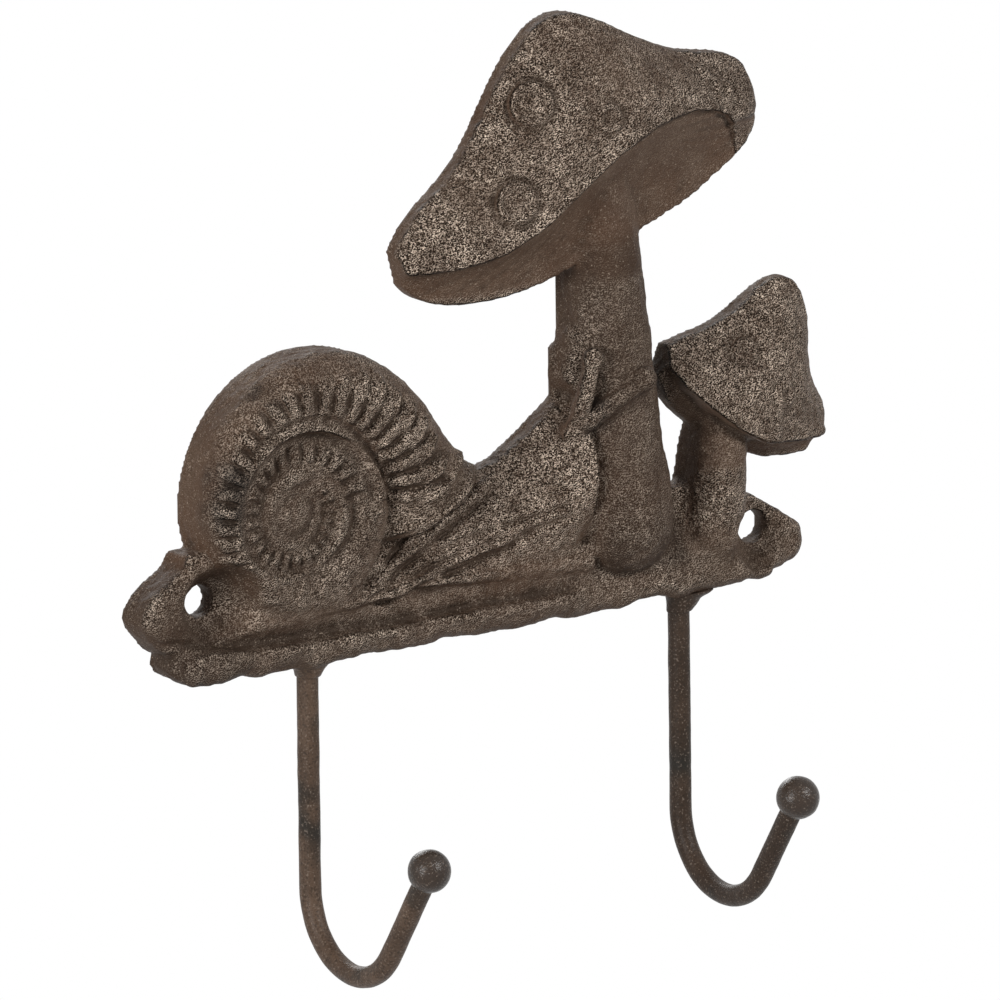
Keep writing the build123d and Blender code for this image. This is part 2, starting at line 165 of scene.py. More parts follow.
# Each rim with the height and the place along the wall where it starts
CAP_RIMS = ((LARGE_RIM, 60, -30), (SMALL_RIM, 12, 52))
GILL_MIDDLE = (33.0, 93.0)
GILL_COUNT = 72
GILL_DEPTH = 0.10

# Folds over the snail's foot: height and depth
FOOT_FOLDS = ((0.8, 0.55), (3.4, 0.45), (6.2, 0.35))

# Regions of the wall: where each starts, is full, starts to fade and ends, along the wall and up it
STEM = ((24, 29, 51, 54), (-8, -4, 68, 74))
STEM_FRONT = ((24, 28, 50, 53), (-6, -2, 66, 70))
STEM_WALL = ((20, 23, 51, 54), (30, 36, 66, 70))
WEB = ((17, 20, 26, 28), (31, 35, 49, 52))

# Direction faced by the surfaces that catch the light, where glints are painted
GLINT_SIDE = (-0.15, -0.93, 0.33)

# Black patches: place along the wall and up it, size and strength
BLACK_PATCHES = [
    (-73.5, 32, 4, 0.95), (-74, 25, 3.8, 0.95), (-63, 50, 3.5, 0.6), (25.5, 34, 2.4, 0.9),
    (25, 29, 2.6, 0.9), (70, 110, 4, 0.5),
]

# Iron: size of the grain, how far aside it is read again to find the slopes that face the painted
# light, and colours, with painted shade for the pits and hollows and painted glints for the flecks and
# specks
GRAIN = 0.32
GRAIN_LIGHT_SHIFT = (0.075, 0.035, -0.105)
IRON_DARK = (0.070, 0.042, 0.028)
IRON_LIGHT = (0.088, 0.057, 0.039)
IRON_RUST = (0.076, 0.039, 0.022)
IRON_HOLLOW_SHADE = (0.028, 0.018, 0.012)
IRON_PIT_SHADE = (0.012, 0.008, 0.005)
IRON_GLINT = (0.78, 0.635, 0.51)
IRON_SPECK_GLINT = (0.34, 0.27, 0.21)
IRON_SHINE = 0.06
PATCH_BLACK = (0.010, 0.010, 0.010)
BLACK = (0.0, 0.0, 0.0)

# Rods, welds and balls: colours, and how light, rough and shiny the paint is; the right rod and weld
# are made darker than the left ones as painted shade
PAINT_DARK = (0.064, 0.041, 0.028)
PAINT_LIGHT = (0.094, 0.061, 0.042)
PAINT_BLACK = (0.016, 0.015, 0.013)
PAINT_PIT = (0.020, 0.015, 0.011)
PAINT_SPECK = (0.22, 0.175, 0.14)
ROD_TONES_AND_SHADE = {"left": 0.92, "right": 0.46}
ROD_ROUGHNESS = 0.42
ROD_SHINE = 0.12
BALL_TONE = 0.36
BALL_ROUGHNESS = 0.28
BALL_SHINE = 0.26

# Plain pieces: kind, slot, voxel and depth of the lumps
PLAIN_KINDS = (
    ("hook_rod", "rods", 0.5, 0.06),
    ("ball_tip", "balls", 0.35, 0.10),
    ("weld_bead", "welds", 0.3, 0.35),
)

# Numbers that mix a grid cell and a seed into noise
CELL_PRIMES = (73856093, 19349663, 83492791)
SEED_PRIME = 40503
NOISE_SHIFT = 13
NOISE_SQUARE = 15731
NOISE_LINEAR = 789221
NOISE_CONSTANT = 1376312589
NOISE_MASK = 0x7FFFFFFF
NOISE_HALF = 0x3FFFFFFF


def make_camera():
    """The scene's camera, rolled a little as in the photograph."""
    az, el, roll = radians(CAMERA_AZIMUTH), radians(CAMERA_ELEVATION), radians(CAMERA_ROLL)
    back = Vector((sin(az) * cos(el), -cos(az) * cos(el), sin(el)))
    right = Vector((cos(az), sin(az), 0.0))
    up = back.cross(right)
    rolled_right = cos(roll) * right + sin(roll) * up
    rolled_up = back.cross(rolled_right)
    data = bpy.data.cameras.new("camera")
    data.sensor_width = SENSOR
    data.lens = SENSOR * CAMERA_DISTANCE / FIELD_WIDTH
    data.clip_start, data.clip_end = CAMERA_CLIP
    camera = bpy.data.objects.new("camera", data)
    place = CAMERA_TARGET + back * CAMERA_DISTANCE
    turn = Matrix((rolled_right, rolled_up, back)).transposed().to_4x4()
    camera.matrix_world = Matrix.Translation(place) @ turn
    scene.collection.objects.link(camera)
    scene.camera = camera


def value_noise(points, size, seed):
    """Smooth noise from -1 to 1, with lumps of about this size."""
    grid = points / size
    cell = np.floor(grid).astype(np.int64)
    share = grid - cell
    share = share * share * (3 - 2 * share)
    total = np.zeros(len(points))
    for corner in np.ndindex(2, 2, 2):
        at = (cell + np.array(corner)) * np.array(CELL_PRIMES)
        mixed = at[:, 0] ^ at[:, 1] ^ at[:, 2] ^ (seed * SEED_PRIME)
        mixed = (mixed ^ (mixed >> NOISE_SHIFT)) & NOISE_MASK
        factor = (mixed * mixed * NOISE_SQUARE + NOISE_LINEAR) & NOISE_MASK
        mixed = (mixed * factor + NOISE_CONSTANT) & NOISE_MASK
        weight = np.prod(np.where(np.array(corner) == 1, share, 1 - share), axis=1)
        total += weight * (mixed / NOISE_HALF - 1)
    return total


def mesh_points(mesh):
    """Vertex places in millimetres and vertex normals."""
    points = np.zeros(len(mesh.vertices) * 3)
    normals = np.zeros(len(mesh.vertices) * 3)
    mesh.vertices.foreach_get("co", points)
    mesh.vertex_normals.foreach_get("vector", normals)
    return points.reshape(-1, 3) / MM, normals.reshape(-1, 3)


def set_points(mesh, points):
    """Puts the vertices at these places in millimetres."""
    mesh.vertices.foreach_set("co", (points * MM).ravel())
    mesh.update()


def applied(piece, kind, **settings):
    """Applies one modifier to the piece's mesh."""
    modifier = piece.modifiers.new(kind.lower(), kind)
    for key, value in settings.items():
        setattr(modifier, key, value)
    shape = piece.evaluated_get(bpy.context.evaluated_depsgraph_get())
    mesh = bpy.data.meshes.new_from_object(shape)
    piece.modifiers.clear()
    old = piece.data
    piece.data = mesh
    bpy.data.meshes.remove(old)


def node_copy(node, name):
    """A new object with a copy of a CAD node's mesh."""
    piece = bpy.data.objects.new(name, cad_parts[node].data.copy())
    scene.collection.objects.link(piece)
    piece.data.materials.clear()
    return piece


def put_in_place(piece, node, material):
    """Puts the piece in the place of its CAD node, with its material."""
    for face in piece.data.polygons:
        face.use_smooth = True
    piece.data.materials.clear()
    piece.data.materials.append(material)
    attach(piece, "root")
    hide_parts(node)


def kept_in_box(points):
    """Points held inside the CAD box."""
    low = np.array(cad_box[0]) / MM
    high = np.array(cad_box[1]) / MM
    return np.clip(points, low, high)


def axes(points):
    """Places along the wall, forward from it and up it."""
    return points[:, 0], -points[:, 1], points[:, 2]


def bell(value, middle, width):
    """One at the middle, falling to zero in a smooth bell."""
    return np.exp(-((value - middle) / width) ** 2)


def ramp(value, start, end):
    """Zero up to the start and one from the end on, smooth between. The start may be above the end."""
    share = np.clip((value - start) / (end - start), 0, 1)
    return share * share * (3 - 2 * share)


def span(value, start, full, fade, end):
    """Zero outside the start and the end, one from full to fade, smooth between."""
    return ramp(value, start, full) * ramp(value, end, fade)


def region(points, along, up):
    """One in a region of the wall, zero outside it."""
    return span(points[:, 0], *along) * span(points[:, 2], *up)


def height_on(line, x):
    """Height of a line through these points, at each place along the wall."""
    return np.interp(x, *np.array(line).T)


def line_distance(points, line):
    """Distance to a straight line between two points, and the share of the way along it."""
    start, end = np.array(line[0]), np.array(line[1])
    share = np.clip((points - start) @ (end - start) / np.sum((end - start) ** 2), 0, 1)
    return np.linalg.norm(points - start - share[:, None] * (end - start), axis=1), share


def near_any(points, places):
    """One at any of these places, falling to zero round it in a bell of its radius."""
    weight = np.zeros(len(points))
    for x, forward, z, radius in places:
        away = np.linalg.norm(points - np.array((x, -forward, z)), axis=1)
        weight = np.maximum(weight, bell(away, 0, radius))
    return weight


def shell_place(points):
    """Turns in from the shell's lip, the share of the tube's width from its outer edge, and the
    distance from the middle."""
    dx, dz = points[:, 0] - SHELL_X, points[:, 2] - SHELL_Z
    reach = np.maximum(np.hypot(dx, dz), SPIRAL_CORE)
    phase = np.mod((np.degrees(np.arctan2(dz, dx)) - LIP_ANGLE) / 360, 1.0)
    depth = np.log2(SHELL_REACH / reach)
    turn = phase + np.maximum(np.floor(depth - phase), 0)
    return turn, depth - turn, reach


def whorl_place(points):
    """Turns in along the inner whorls' seam, the share of the way to its next turn, and the
    distance from the middle."""
    dx, dz = points[:, 0] - WHORL_X, points[:, 2] - WHORL_Z
    reach = np.maximum(np.hypot(dx, dz), SPIRAL_CORE)
    phase = np.mod(np.degrees(np.arctan2(dz, dx)) / 360, 1.0)
    depth = np.log(WHORL_REACH / reach) / np.log(1 / WHORL_RATIO)
    turn = phase + np.floor(depth - phase)
    return turn, depth - turn, reach


def shell_share(points):
    """One on the front of the shell, zero elsewhere."""
    x, forward, z = axes(points)
    reach = shell_place(points)[2]
    body_top = 4.0 + 0.30 * (x + 62)
    return ramp(reach, 46, 43) * ramp(forward, 8.0, 10.5) * ramp(z - body_top, 0, 3)


def whorl_share(points):
    """One on the inner whorls and the smooth band round them, zero elsewhere."""
    turn, _, reach = whorl_place(points)
    phase = np.mod(turn, 1.0)
    edge = WHORL_REACH * WHORL_RATIO ** phase + 3.0 - 3.5 * ramp(phase, 0.28, 0.42)
    return shell_share(points) * ramp(reach - edge, 1.5, -1.5)


def tail_share(points):
    """One on the tail lug, zero elsewhere."""
    return ramp(points[:, 0], -66, -72) * ramp(points[:, 2], 16, 10)


def groove_wave(steps):
    """Broad ribs with a thin groove half-way between them, one rib a step."""
    off = np.abs(np.mod(steps + 0.5, 1.0) - 0.5)
    return 0.35 - 1.1 * bell(off, 0.5, 0.17)


def cast_lumps(points, normals):
    """Uneven lumps all over, fainter under the caps and none on the flat back."""
    _, forward, z = axes(points)
    lumps = sum(depth * value_noise(points, size, seed) for size, depth, seed in LUMPS)
    under_caps = ramp(-normals[:, 2], 0.2, 0.6) * ramp(z, 50, 60)
    return lumps * ramp(forward, 0.05, 1.5) * (1 - 0.65 * under_caps)


def shell_relief(points, front):
    """Shell's outer whorl: broad lobes with thin grooves between them."""
    turn, across, _ = shell_place(points)
    ribs = groove_wave((turn - RIB_FIRST) * 360 / RIB_STEP)
    outer = ramp(across, 0.06, 0.30) * (1 - whorl_share(points)) * (turn < 1.0)
    ribbed = outer * span(turn, 0.02, 0.06, 0.54, 0.66)
    return front * shell_share(points) * ribbed * RIB_DEPTH * ribs


def whorl_relief(points, front):
    """Inner whorls: a thin ridge along the seam, short ribs and a knob in the middle."""
    turn, across, reach = whorl_place(points)
    seam = np.minimum(across, 1 - across) * reach * np.log(1 / WHORL_RATIO)
    first_turn = ramp(turn + (across > 0.5), 1.3, 0.7)
    move = first_turn * (1.15 * bell(seam, 0, 1.0) - 0.45 * bell(seam, 2.2, 1.0))
    move -= (1 - first_turn) * ramp(reach, 4, 7) * 0.5 * bell(seam, 0, 0.9)
    ribs = groove_wave(turn * 360 / WHORL_RIB_STEP)
    band = span(across, 0.30, 0.45, 0.86, 0.98) * span(turn, -0.1, 0.05, 1.0, 1.15)
    move += WHORL_RIB_DEPTH * ribs * band * ramp(reach, 5, 8)
    move += bell(reach, 0, 3.2) - 0.6 * bell(reach, 4.6, 1.1)
    return front * whorl_share(points) * move


def tentacle_relief(points):
    """Snail's tentacles: thicker stalks with a round eye at the end."""
    move = np.zeros(len(points))
    for line in TENTACLES:
        away, share = line_distance(points, line)
        move += (0.8 + 0.6 * ramp(share, 0.75, 1.0)) * bell(away, 0, 2.6)
    return move * ramp(-points[:, 1], 9, 11)


def spot_relief(points):
    """Caps' spots: the inside of each goes back level with the cap, so that a ring stands."""
    x, forward, z = axes(points)
    move = np.zeros(len(points))
    for cap_x, cap_z, tilt, spots in CAP_SPOTS:
        turn = radians(tilt)
        for place, height, radius, depth in spots:
            spot_x = cap_x + place * cos(turn) - height * sin(turn)
            spot_z = cap_z + place * sin(turn) + height * cos(turn)
            near = np.hypot(x - spot_x, z - spot_z) < 1.0
            near &= forward > forward[near].max() - 1.5
            spot = points[near].mean(axis=0)
            away = np.linalg.norm(points - spot, axis=1)
            ring = 0.30 * bell(away, radius - 0.2, 0.8) - 0.45 * bell(away, radius + 1.2, 0.8)
            move += depth * ring - 0.70 * ramp(away, radius - 0.6, radius - 1.6)
    return move


def cap_relief(points, normals):
    """Caps: a crisp rim on each and faint gills under the large one."""
    x, forward, z = axes(points)
    move = np.zeros(len(points))
    for line, low, left in CAP_RIMS:
        step = z - height_on(line, x)
        on_rim = ramp(forward, 5, 8) * ramp(z, low, low + 4) * ramp(x, left, left + 2)
        edge = 0.45 * bell(step, 0.7, 0.9) - 0.6 * bell(step, -1.2, 0.9)
        move += on_rim * (np.abs(step) < 5) * edge
    dx, dz = x - GILL_MIDDLE[0], z - GILL_MIDDLE[1]
    under = ramp(-normals[:, 2], 0.1, 0.4) * ramp(z, 60, 66) * ramp(forward, 3, 6)
    far = ramp(np.hypot(dx, dz), 12, 24)
    gills = np.cos(GILL_COUNT * np.arctan2(dz, dx) + 1.5 * value_noise(points, 20.0, 7))
    return move + GILL_DEPTH * under * far * gills


def body_relief(points, front):
    """Snail's body: the lip's long ridges and the folds that climb to the right over the foot."""
    x, _, z = axes(points)
    move = np.zeros(len(points))
    wander = 0.5 * value_noise(points, 7.0, 9)
    for line in BODY_LINES:
        step = z - height_on(line, x) + wander
        first, last = line[0][0], line[-1][0]
        ends = span(x, first - 2, first + 3, last - 2, last + 3)
        move += ends * (0.75 * bell(step, 1.1, 1.1) - 0.75 * bell(step, -0.8, 0.9))
    climb = z - 0.2 * (x + 32) - 0.8 * value_noise(points, 9.0, 6)
    on_foot = span(x, -38, -28, 14, 22) * ramp(z, -2, 0) * (1 - shell_share(points))
    for height, depth in FOOT_FOLDS:
        fold = 0.5 * bell(climb, height - 1.5, 0.9) - bell(climb, height, 0.7)
        move += on_foot * depth * fold
    return front * move


def web_relief(points):
    """Web beside the large stem: a lumpy edge."""
    forward = -points[:, 1]
    on_web = region(points, *WEB) * ramp(forward, 11, 8) * ramp(forward, 0.05, 1.5)
    return on_web * (0.4 + 1.3 * value_noise(points, 5.0, 8))


def ground_relief(points, front):
    """Ground: a groove along its top and a rough ridge below."""
    x, forward, z = axes(points)
    step = z - height_on(GROUND_LINE, x) + 0.4 * value_noise(points, 8.0, 10)
    groove = span(x, -92, -86, 19, 24) * (0.3 * bell(step, -2.4, 1.3) - bell(step, 0, 1.2))
    ridge = ramp(z, -4.5, -6.5) * ramp(forward, 3, 6)
    rough = 0.75 * value_noise(points * np.array((1, 1, 0.7)), 5.0, 5) - 0.1
    return front * groove + ridge * rough


def casting_relief(points, normals):
    """How far each point of the casting moves along its normal."""
    front = ramp(-normals[:, 1], 0.1, 0.6) * ramp(-points[:, 1], 3.0, 6.0)
    move = cast_lumps(points, normals)
    move += shell_relief(points, front) + whorl_relief(points, front)
    move += tentacle_relief(points) + body_relief(points, front)
    move += cap_relief(points, normals) + spot_relief(points)
    move += web_relief(points) + ground_relief(points, front)
    return move


def casting_glint_and_wear(points, normals, hollow):
    """How strong the painted glints and worn flecks are at each point, and how deep its grain: most
    where it faces the light and on crests, least in hollows and under the caps, where shade falls."""
    x, _, z = axes(points)
    glint_and_wear = ramp(normals @ np.array(GLINT_SIDE), 0.25, 0.88) * ramp(hollow, 0.35, 0.05)
    glint_and_wear *= 0.9 + 0.4 * value_noise(points, 11.0, 21)
    glint_and_wear *= 0.86 + 0.7 * ramp(hollow, -0.02, -0.22)

    # Large cap: more painted glints along its rim, and hardly any under it, where shade falls
    rim = height_on(LARGE_RIM, x)
    glint_and_wear *= 1 + (0.30 * ramp(np.abs(z - rim), 9, 0) - 0.12) * ramp(z, 60, 64)
    glint_and_wear *= 1 - 0.92 * ramp(rim - z, -0.3, 1.0) * ramp(z, 60, 64)

    # Small cap: more painted glints on its crown, and few under it, where shade falls
    rim = height_on(SMALL_RIM, x)
    glint_and_wear *= 1 - 0.85 * ramp(rim - z, -0.3, 1.0) * ramp(x, 53, 55) * ramp(z, 12, 15)
    glint_and_wear *= 1 + 0.25 * ramp(x, 54, 58) * ramp(z, 20, 24)

    # Fewer painted glints on the large stem, the ground, the tail lug and the shell's middle and outer
    # edge
    glint_and_wear *= 1 - 0.68 * region(points, *STEM_FRONT)
    glint_and_wear *= 1 - 0.58 * ramp(z, 4, -2)
    glint_and_wear *= 1 - 0.30 * tail_share(points)
    _, across, reach = shell_place(points)
    glint_and_wear *= 1 - 0.42 * ramp(reach, 22, 19)
    glint_and_wear *= 1 - 0.5 * shell_share(points) * ramp(across, 0.32, 0.12)
    return np.clip(glint_and_wear + 0.05, 0, 1)


def casting_shade_and_tone(points, normals):
    """How light the colour is at each point: painted shade on the large stem under the large cap, most
    near its foot, and on its wall where it faces left; darker also on the ground, the inner whorls and
    the tail lug."""
    z = points[:, 2]
    stem = region(points, *STEM)
    shade_and_tone = 1 - 0.40 * stem - 0.20 * stem * ramp(z, 16, 4)
    shade_and_tone *= 1 - 0.25 * region(points, *STEM_WALL) * ramp(-normals[:, 0], 0.5, 0.9)
    shade_and_tone *= 1 - 0.26 * ramp(z, -3, -6)
    shade_and_tone *= 1 - 0.34 * ramp(whorl_place(points)[2], 24, 20)
    shade_and_tone *= 1 - 0.38 * tail_share(points)
    return shade_and_tone


def casting_black_patches(points):
    """Patches of black at the given places, broken up by noise, only on what stands well forward."""
    x, forward, z = axes(points)
    black_patch = np.zeros(len(points))
    for place_x, place_z, size, strength in BLACK_PATCHES:
        away = np.hypot(x - place_x, z - place_z)
        black_patch = np.maximum(black_patch, strength * bell(away, 0, size))
    broken = np.clip(0.7 + 0.6 * value_noise(points, 2.4, 22), 0, 1)
    return black_patch * ramp(forward, 7, 10) * broken


class Neighbours:
    """Means over each vertex's neighbours."""

    def __init__(self, mesh):
        edges = np.zeros(len(mesh.edges) * 2, np.int64)
        mesh.edges.foreach_get("vertices", edges)
        self.first, self.second = edges.reshape(-1, 2).T
        self.size = len(mesh.vertices)
        self.count = np.maximum(np.bincount(edges, minlength=self.size), 1)

    def mean(self, values):
        """The neighbours' mean of each column."""
        columns = []
        for column in values.T:
            total = np.bincount(self.first, column[self.second], self.size)
            total += np.bincount(self.second, column[self.first], self.size)
            columns.append(total / self.count)
        return np.stack(columns, axis=1)

    def hollow(self, points, normals):
        """How far each point lies below the mean of what is round it."""
        mean = points
        for _ in range(HOLLOW_ROUNDS):
            mean = self.mean(mean)
        depth = np.sum((mean - points) * normals, axis=1)[:, None]
        return self.mean(self.mean(depth))[:, 0]

    def softened(self, points, weight, rounds):
        """Points drawn to their neighbours' mean, by each one's own weight."""
        pull = SOFTENING_PULL * weight[:, None]
        for _ in range(rounds):
            points = points + pull * (self.mean(points) - points)
        return points


def add_attribute(mesh, name, values):
    """Stores one number for each vertex."""
    layer = mesh.attributes.new(name, "FLOAT", "POINT")
    layer.data.foreach_set("value", values.astype(np.float32))


def fill_gap(piece):
    """Adds a block inside the casting, which the remesh joins to it."""
    low, high = (Vector(corner) * MM for corner in FILLER)
    place = Matrix.Translation((low + high) / 2) @ Matrix.Diagonal((*(high - low), 1.0))
    shape = bmesh.new()
    shape.from_mesh(piece.data)
    bmesh.ops.create_cube(shape, size=1.0, matrix=place)
    shape.to_mesh(piece.data)
    shape.free()


def tail_trimmed(points):
    """The tail lug with a more pointed left edge."""
    trimmed = points.copy()
    trimmed[:, 0] += height_on(TAIL_TRIM, points[:, 2]) * ramp(points[:, 0], -80, -87)
    return trimmed


def crown_edge(points):
    """One on the large cap's left edge, well clear of its rim, and zero elsewhere."""
    x, forward, z = axes(points)
    above_rim = ramp(z - height_on(LARGE_RIM, x), 3, 6)
    return above_rim * ramp(x, 30, 24) * ramp(z, 66, 70) * ramp(forward, 3, 6)


def make_casting(material):
    """The relief: a fine mesh of the CAD casting, softened, with sand-cast lumps and finer relief."""
    piece = node_copy("snail_mushroom_casting", "casting")
    fill_gap(piece)
    applied(piece, "REMESH", mode="VOXEL", voxel_size=VOXEL * MM, adaptivity=0.0)
    around = Neighbours(piece.data)
    points = tail_trimmed(mesh_points(piece.data)[0])
    off_back = ramp(-points[:, 1], 0.1, 1.2)
    points = around.softened(points, off_back, CASTING_SOFTENING)
    points = around.softened(points, off_back * near_any(points, SOFT_PLACES), PLACE_SOFTENING)
    points = around.softened(points, whorl_share(points), WHORL_SOFTENING)
    points = around.softened(points, crown_edge(points), EDGE_SOFTENING)

    # Corners filled, except between the ribs
    for _ in range(FILLET_ROUNDS):
        set_points(piece.data, points)
        points, normals = mesh_points(piece.data)
        fill = np.clip(around.hollow(points, normals) - FILLET_START, 0, FILLET_MOST)
        fill *= 1 - (1 - FILLET_ON_SHELL) * shell_share(points)
        points = points + normals * (fill * off_back)[:, None]

    # Relief, and what the material reads at each vertex: hollows, painted glints with wear, black
    # patches, and tone with painted shade
    set_points(piece.data, points)
    points, normals = mesh_points(piece.data)
    points = points + normals * casting_relief(points, normals)[:, None]
    set_points(piece.data, kept_in_box(points))
    points, normals = mesh_points(piece.data)
    hollow = around.hollow(points, normals)
    add_attribute(piece.data, "hollow", np.clip(hollow / HOLLOW_FULL, -1, 1))
    add_attribute(piece.data, "glint_and_wear", casting_glint_and_wear(points, normals, hollow))
    add_attribute(piece.data, "black_patch", casting_black_patches(points))
    add_attribute(piece.data, "shade_and_tone", casting_shade_and_tone(points, normals))

    # Fewer triangles, which may leave the box a little, so it is held in again
    triangles = 2 * len(piece.data.polygons)
    if triangles > CASTING_TRIANGLES:
        applied(piece, "DECIMATE", ratio=CASTING_TRIANGLES / triangles)
    set_points(piece.data, kept_in_box(mesh_points(piece.data)[0]))
    put_in_place(piece, "snail_mushroom_casting", material)


def make_plain_pieces(rod_paint, ball_paint):
    """Rods, balls and welds: finer meshes of the CAD nodes with a slightly uneven surface."""
    for side in ("left", "right"):
        for kind, slot, voxel, depth in PLAIN_KINDS:
            node = side + "_" + kind
            piece = node_copy(node, node + "_dressed")
            applied(piece, "REMESH", mode="VOXEL", voxel_size=voxel * MM, adaptivity=0.0)
            applied(piece, "SMOOTH", factor=0.5, iterations=4)
            points, normals = mesh_points(piece.data)
            move = depth * (value_noise(points, 5.0, 11) + 0.6 * value_noise(points, 2.2, 12))
            set_points(piece.data, kept_in_box(points + normals * move[:, None]))
            put_in_place(piece, node, ball_paint if kind == "ball_tip" else rod_paint[side])


class Nodes:
    """Short way to build the node tree of a material or the world."""

    def __init__(self, owner):
        owner.use_nodes = True
        self.owner = owner
        self.tree = owner.node_tree
        self.tree.nodes.clear()
        self.coords = None

    def add(self, kind, inputs=None, **settings):
        """A new node with these settings, and with links or values at its inputs."""
        node = self.tree.nodes.new(kind)
        for key, value in settings.items():
            setattr(node, key, value)
        for key, value in (inputs or {}).items():
            if isinstance(value, bpy.types.NodeSocket):
                self.tree.links.new(value, node.inputs[key])
            else:
                node.inputs[key].default_value = value
        return node

    def attribute(self, name):
        """A number stored at the mesh's vertices."""
        return self.add("ShaderNodeAttribute", attribute_name=name).outputs["Fac"]

    def noise(self, size, detail=2.0, roughness=0.5, shift=None):
        """Noise with lumps of about this many millimetres, read this far to the side."""
        if self.coords is None:
            self.coords = self.add("ShaderNodeTexCoord").outputs["Object"]
        coords = self.coords
        if shift is not None:
            aside = tuple(part * MM for part in shift)
            added = self.add("ShaderNodeVectorMath", {0: coords, 1: aside}, operation="ADD")
            coords = added.outputs[0]
        return self.add("ShaderNodeTexNoise", {
            "Vector": coords, "Scale": 1 / (size * MM), "Detail": detail, "Roughness": roughness,
        }).outputs["Fac"]

    def range(self, value, low, high, to_low=0.0, to_high=1.0):
        """The value with low and high brought to the two new ends, and held between them."""
        return self.add("ShaderNodeMapRange", {
            "Value": value, "From Min": low, "From Max": high, "To Min": to_low, "To Max": to_high,
        }).outputs["Result"]

    def mix(self, share, first, second):
        """The first colour, with this share of the second."""
        node = self.add("ShaderNodeMix", {"Factor": share}, data_type="RGBA")
        for key, value in ((6, first), (7, second)):
            if isinstance(value, bpy.types.NodeSocket):
                self.tree.links.new(value, node.inputs[key])
            else:
                node.inputs[key].default_value = (*value, 1.0)
        return node.outputs[2]

    def math(self, operation, first, second):
        """What one operation makes of two numbers."""
        return self.add("ShaderNodeMath", {0: first, 1: second}, operation=operation).outputs[0]

    def bump(self, height, strength, distance, normal=None):
        """A normal turned by this height, on top of another normal if one is given."""
        inputs = {"Height": height, "Strength": strength, "Distance": distance * MM}
        if normal is not None:
            inputs["Normal"] = normal
        return self.add("ShaderNodeBump", inputs).outputs["Normal"]

    def background_rays(self):
        """One for rays that show the background: straight, in a reflection or through glass."""
        path = self.add("ShaderNodeLightPath")
        share = path.outputs["Is Camera Ray"]
        for ray in ("Is Glossy Ray", "Is Transmission Ray"):
            share = self.math("MAXIMUM", share, path.outputs[ray])
        return share

    def output(self, inputs):
        """The finished material, with one shader that has these inputs."""
        shader = self.add("ShaderNodeBsdfPrincipled", inputs)
        self.add("ShaderNodeOutputMaterial", {"Surface": shader.outputs["BSDF"]})
        return self.owner


def iron_material():
    """Antique brown iron: sand-cast grain with a painted glint on the lit side of each lump and
    painted shade on the other, smoother and with painted shade in the hollows."""
    n = Nodes(bpy.data.materials.new("antique_iron"))
    glint_and_wear = n.attribute("glint_and_wear")
    shade_and_tone = n.attribute("shade_and_tone")
    grain = n.noise(GRAIN, 1.0)
    beside = n.noise(GRAIN, 1.0, shift=GRAIN_LIGHT_SHIFT)
    coarse = n.noise(1.4)

    # Brown finish in patches, darker by its tone, which holds painted shade on the large stem, and
    # with painted shade in the hollows
    colour = n.mix(n.range(n.noise(14.0, 3.0, 0.55), 0.35, 0.65), IRON_DARK, IRON_LIGHT)
    colour = n.mix(n.range(n.noise(30.0), 0.5, 0.7, 0.0, 0.6), colour, IRON_RUST)
    colour = n.mix(n.range(shade_and_tone, 0.0, 1.0, 1.0, 0.0), colour, BLACK)
    hollow_shade = n.range(n.attribute("hollow"), 0.05, 0.55, 0.0, 0.85)
    colour = n.mix(hollow_shade, colour, IRON_HOLLOW_SHADE)

    # Grain: painted shade on one side of each lump and a painted glint on the other, as if lit from
    # one side
    lumps = n.math("MULTIPLY", n.math("SUBTRACT", grain, 0.5), 0.5)
    lit_slope = n.math("ADD", n.math("SUBTRACT", grain, beside), lumps)
    pit_shade = n.math("MULTIPLY", n.range(lit_slope, 0.01, -0.09), n.range(glint_and_wear, 0.0, 0.8, 0.15, 1.0))
    colour = n.mix(pit_shade, colour, IRON_PIT_SHADE)
    small_clumps = n.range(coarse, 0.34, 0.6, 0.35, 1.0)
    large_clumps = n.range(n.noise(7.0), 0.32, 0.6, 0.45, 1.0)
    clumps = n.math("MULTIPLY", small_clumps, large_clumps)
    painted_glints = n.math("MULTIPLY", n.math("MULTIPLY", n.range(lit_slope, 0.02, 0.13), glint_and_wear), clumps)
    colour = n.mix(painted_glints, colour, IRON_GLINT)

    # Single painted glints as specks, and black patches over all
    speck_glints = n.range(n.noise(0.38, 0.0), 0.72, 0.80, 0.0, 0.6)
    colour = n.mix(speck_glints, colour, IRON_SPECK_GLINT)
    colour = n.mix(n.attribute("black_patch"), colour, PATCH_BLACK)

    rough = n.range(painted_glints, 0.0, 0.8, 0.55, 0.30)
    depth = n.range(glint_and_wear, 0.0, 1.0, 0.12, 1.0)
    normal = n.bump(n.math("MULTIPLY", coarse, depth), 1.0, 1.5)
    normal = n.bump(n.math("MULTIPLY", grain, depth), 1.0, 0.7, normal)
    return n.output({
        "Base Color": colour, "Metallic": 0.0, "Roughness": rough, "Normal": normal,
        "Specular IOR Level": IRON_SHINE,
    })


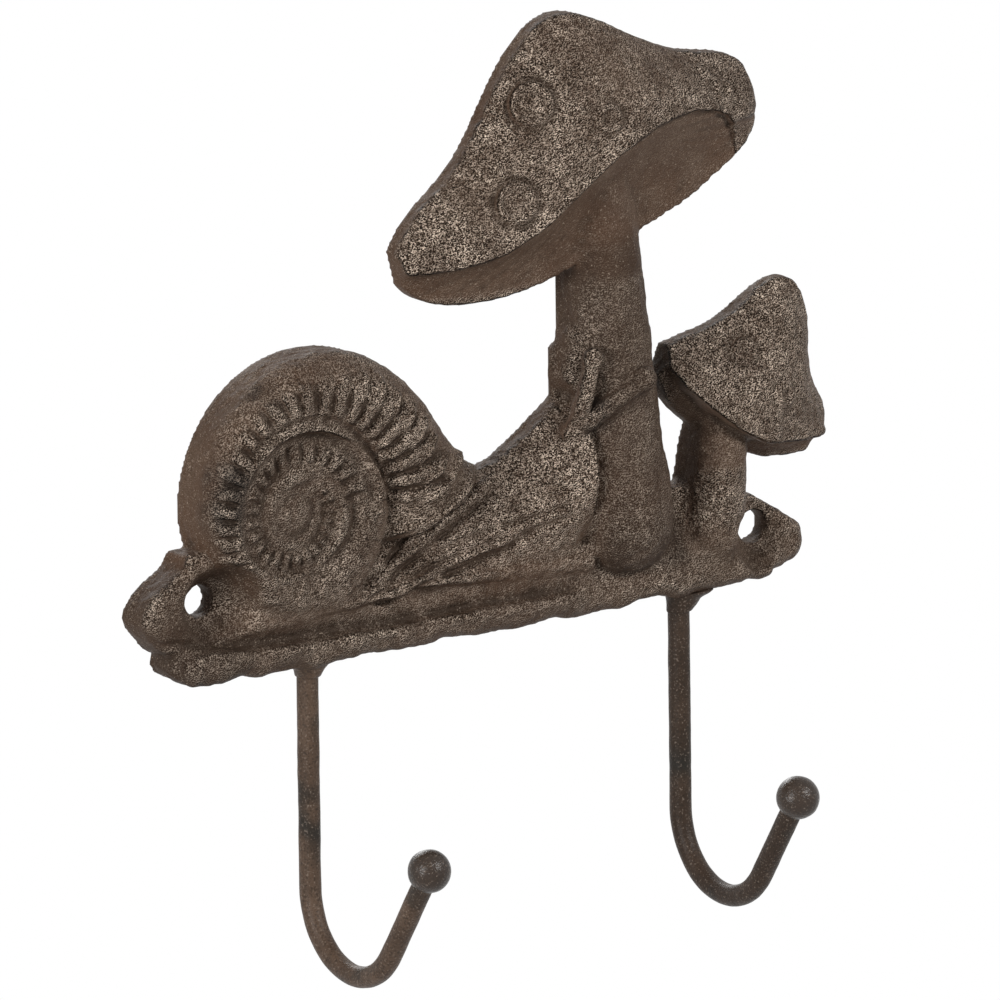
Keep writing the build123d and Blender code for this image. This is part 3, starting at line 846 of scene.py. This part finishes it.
def rod_material(name, shade_and_tone, rough=ROD_ROUGHNESS, shine=ROD_SHINE):
    """Antique brown-black paint on smooth steel, with fine pits and worn specks."""
    n = Nodes(bpy.data.materials.new(name))
    grain = n.noise(0.5)
    # Paint darker by its tone, which for the right rod and weld is painted shade
    dark, light = (tuple(shade_and_tone * part for part in paint) for paint in (PAINT_DARK, PAINT_LIGHT))
    colour = n.mix(n.range(n.noise(9.0, 3.0, 0.6), 0.35, 0.65), dark, light)
    colour = n.mix(n.range(n.noise(16.0, 3.0), 0.56, 0.7, 0.0, 0.85), colour, PAINT_BLACK)
    colour = n.mix(n.range(grain, 0.45, 0.36, 0.0, 0.6), colour, PAINT_PIT)
    colour = n.mix(n.range(grain, 0.60, 0.70, 0.0, 0.5), colour, PAINT_SPECK)
    return n.output({
        "Base Color": colour, "Metallic": 0.0, "Roughness": rough,
        "Normal": n.bump(grain, 0.6, 0.25), "Specular IOR Level": shine,
    })


def make_floor():
    """A plain floor that keeps the object's shadow and looks white to the camera."""
    half, level = FLOOR_HALF, cad_box[0].z - FLOOR_DROP
    corners = [(-half, -half, level), (half, -half, level), (half, half, level), (-half, half, level)]
    mesh = bpy.data.meshes.new("floor")
    mesh.from_pydata(corners, [], [(0, 1, 2, 3)])
    floor = bpy.data.objects.new("floor", mesh)
    scene.collection.objects.link(floor)
    n = Nodes(bpy.data.materials.new("floor"))
    matte = n.add("ShaderNodeBsdfDiffuse", {"Color": FLOOR_COLOUR}).outputs[0]
    white = n.add("ShaderNodeEmission", {"Color": WHITE, "Strength": 1.0}).outputs[0]
    both = n.add("ShaderNodeMixShader", {0: n.background_rays(), 1: matte, 2: white})
    n.add("ShaderNodeOutputMaterial", {"Surface": both.outputs[0]})
    mesh.materials.append(n.owner)


def make_light():
    """White all round for the camera, soft light from all sides, and studio lamps."""
    scene.world = bpy.data.worlds.new("studio")
    n = Nodes(scene.world)
    soft = n.add("ShaderNodeBackground", {"Color": WHITE, "Strength": WORLD_STRENGTH}).outputs[0]
    white = n.add("ShaderNodeBackground", {"Color": WHITE, "Strength": 1.0}).outputs[0]
    both = n.add("ShaderNodeMixShader", {0: n.background_rays(), 1: soft, 2: white})
    n.add("ShaderNodeOutputWorld", {"Surface": both.outputs[0]})
    for name, place, size, power in LAMPS:
        data = bpy.data.lights.new(name, "AREA")
        data.energy = power
        data.size = size
        lamp = bpy.data.objects.new(name, data)
        lamp.location = place
        lamp.rotation_euler = (CAMERA_TARGET - Vector(place)).to_track_quat("-Z", "Y").to_euler()
        scene.collection.objects.link(lamp)


scene.view_settings.view_transform = "Standard"
make_camera()
make_casting(iron_material())
make_plain_pieces(
    {side: rod_material(side + "_rod_paint", shade_and_tone) for side, shade_and_tone in ROD_TONES_AND_SHADE.items()},
    rod_material("ball_paint", BALL_TONE, BALL_ROUGHNESS, BALL_SHINE),
)
make_floor()
make_light()

bpy.context.view_layer.update()
